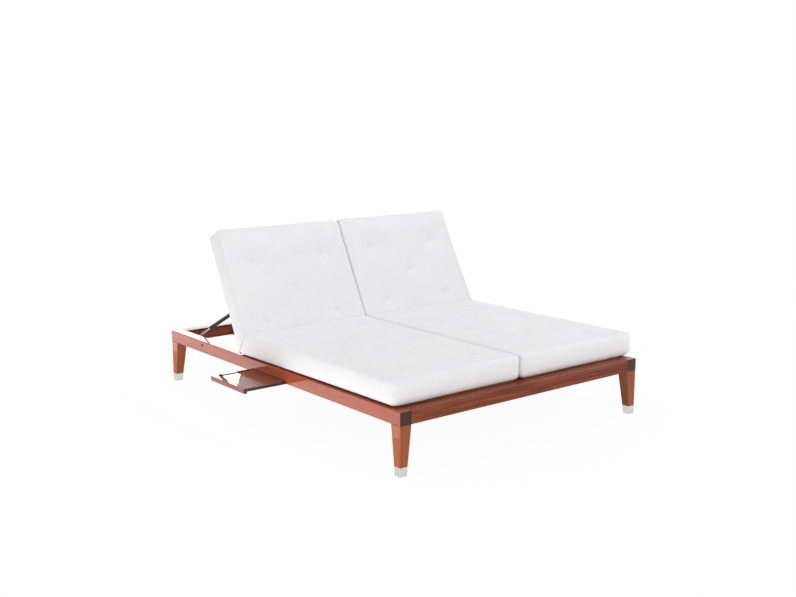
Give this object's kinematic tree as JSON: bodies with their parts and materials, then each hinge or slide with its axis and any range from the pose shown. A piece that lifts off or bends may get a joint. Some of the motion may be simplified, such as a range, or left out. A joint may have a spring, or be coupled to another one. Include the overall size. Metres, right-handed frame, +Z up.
{
  "type": "double chaise lounger",
  "caption": "Low wooden double sun lounger on tapered legs, with reclining backs on gas struts, pull-out side trays and tufted cushions.",
  "frame": {"origin": "on the floor, under the middle of the frame, half way between the left and right rails and the front and rear rails", "axes": "+X to the right seen from the foot end, +Y from the foot end to the head end, +Z up"},
  "size_m": [1.984, 2.05, 0.9038],
  "materials": {
    "varnished_wood": "high-gloss varnish",
    "deck_wood": "satin varnish",
    "dowel_wood": "bare",
    "plug_wood": "varnished end grain",
    "cap_steel": "brushed",
    "bolt_steel": "zinc plated",
    "hinge_steel": "turned",
    "bracket_steel": "black paint",
    "rod_steel": "ground and polished",
    "strut_black": "satin black paint",
    "cushion_fabric": "woven outdoor cloth"
  },
  "bodies": {
    "frame": {"front_rail": "varnished_wood", "rear_rail": "varnished_wood", "middle_beam": "varnished_wood", "rail_dowels": "dowel_wood", "leg_bolts": "bolt_steel", "rest_blocks": "varnished_wood", "rail_plugs": "plug_wood", "left_side_rail": "varnished_wood", "left_hinge_rail": "varnished_wood", "left_outer_ledger": "deck_wood", "left_inner_ledger": "deck_wood", "left_seat_slats": "deck_wood", "left_hinge_cheek": "varnished_wood", "left_hinge_pins": "hinge_steel", "left_back_ledge": "deck_wood", "left_strut_foot": "bracket_steel", "left_tray_runners": "deck_wood", "left_seat_cushion": "cushion_fabric", "front_left_leg": "varnished_wood", "rear_left_leg": "varnished_wood", "front_left_leg_cap": "cap_steel", "rear_left_leg_cap": "cap_steel", "right_side_rail": "varnished_wood", "right_hinge_rail": "varnished_wood", "right_outer_ledger": "deck_wood", "right_inner_ledger": "deck_wood", "right_seat_slats": "deck_wood", "right_hinge_cheek": "varnished_wood", "right_hinge_pins": "hinge_steel", "right_back_ledge": "deck_wood", "right_strut_foot": "bracket_steel", "right_tray_runners": "deck_wood", "right_seat_cushion": "cushion_fabric", "front_right_leg": "varnished_wood", "rear_right_leg": "varnished_wood", "front_right_leg_cap": "cap_steel", "rear_right_leg_cap": "cap_steel"},
    "left_back": {"left_back_stiles": "varnished_wood", "left_back_rails": "varnished_wood", "left_back_slats": "deck_wood", "left_strut_head_plate": "bracket_steel", "left_back_cushion": "cushion_fabric"},
    "left_strut_lower": {"left_strut_rod": "rod_steel"},
    "left_strut_upper": {"left_strut_cylinder": "strut_black"},
    "left_tray": {"left_tray_panel": "varnished_wood", "left_tray_fascia": "varnished_wood", "left_tray_stop": "varnished_wood"},
    "right_back": {"right_back_stiles": "varnished_wood", "right_back_rails": "varnished_wood", "right_back_slats": "deck_wood", "right_strut_head_plate": "bracket_steel", "right_back_cushion": "cushion_fabric"},
    "right_strut_lower": {"right_strut_rod": "rod_steel"},
    "right_strut_upper": {"right_strut_cylinder": "strut_black"},
    "right_tray": {"right_tray_panel": "varnished_wood", "right_tray_fascia": "varnished_wood", "right_tray_stop": "varnished_wood"}
  },
  "joints": [
    {"name": "left_back_recline", "type": "hinge", "parent": "frame", "child": "left_back", "pos_m": [-0.637, 0.29807, 0.264], "axis": [-1, 0, 0], "range_deg": [0, 63]},
    {"name": "left_strut_swing", "type": "hinge", "parent": "frame", "child": "left_strut_lower", "pos_m": [-0.672, 0.935, 0.236], "axis": [1, 0, 0], "range_deg": [0, 22.39]},
    {"name": "left_strut_stroke", "type": "slide", "parent": "left_strut_lower", "child": "left_strut_upper", "axis": [0, 0.8942, -0.4477], "range_m": [0, 0.20287]},
    {"name": "left_tray_slide", "type": "slide", "parent": "frame", "child": "left_tray", "axis": [1, 0, 0], "range_m": [0, 0.232]},
    {"name": "right_back_recline", "type": "hinge", "parent": "frame", "child": "right_back", "pos_m": [0.637, 0.29807, 0.264], "axis": [-1, 0, 0], "range_deg": [0, 63]},
    {"name": "right_strut_swing", "type": "hinge", "parent": "frame", "child": "right_strut_lower", "pos_m": [0.672, 0.935, 0.236], "axis": [1, 0, 0], "range_deg": [0, 22.39]},
    {"name": "right_strut_stroke", "type": "slide", "parent": "right_strut_lower", "child": "right_strut_upper", "axis": [0, 0.8942, -0.4477], "range_m": [0, 0.20287]},
    {"name": "right_tray_slide", "type": "slide", "parent": "frame", "child": "right_tray", "axis": [-1, 0, 0], "range_m": [0, 0.232]}
  ],
  "couplings": [
    {"joint": "left_strut_swing", "follows": "left_back_recline", "ratio": 0.35468},
    {"joint": "left_strut_stroke", "follows": "left_back_recline", "m_per_rad": 0.18405},
    {"joint": "right_strut_swing", "follows": "right_back_recline", "ratio": 0.35468},
    {"joint": "right_strut_stroke", "follows": "right_back_recline", "m_per_rad": 0.18405}
  ]
}
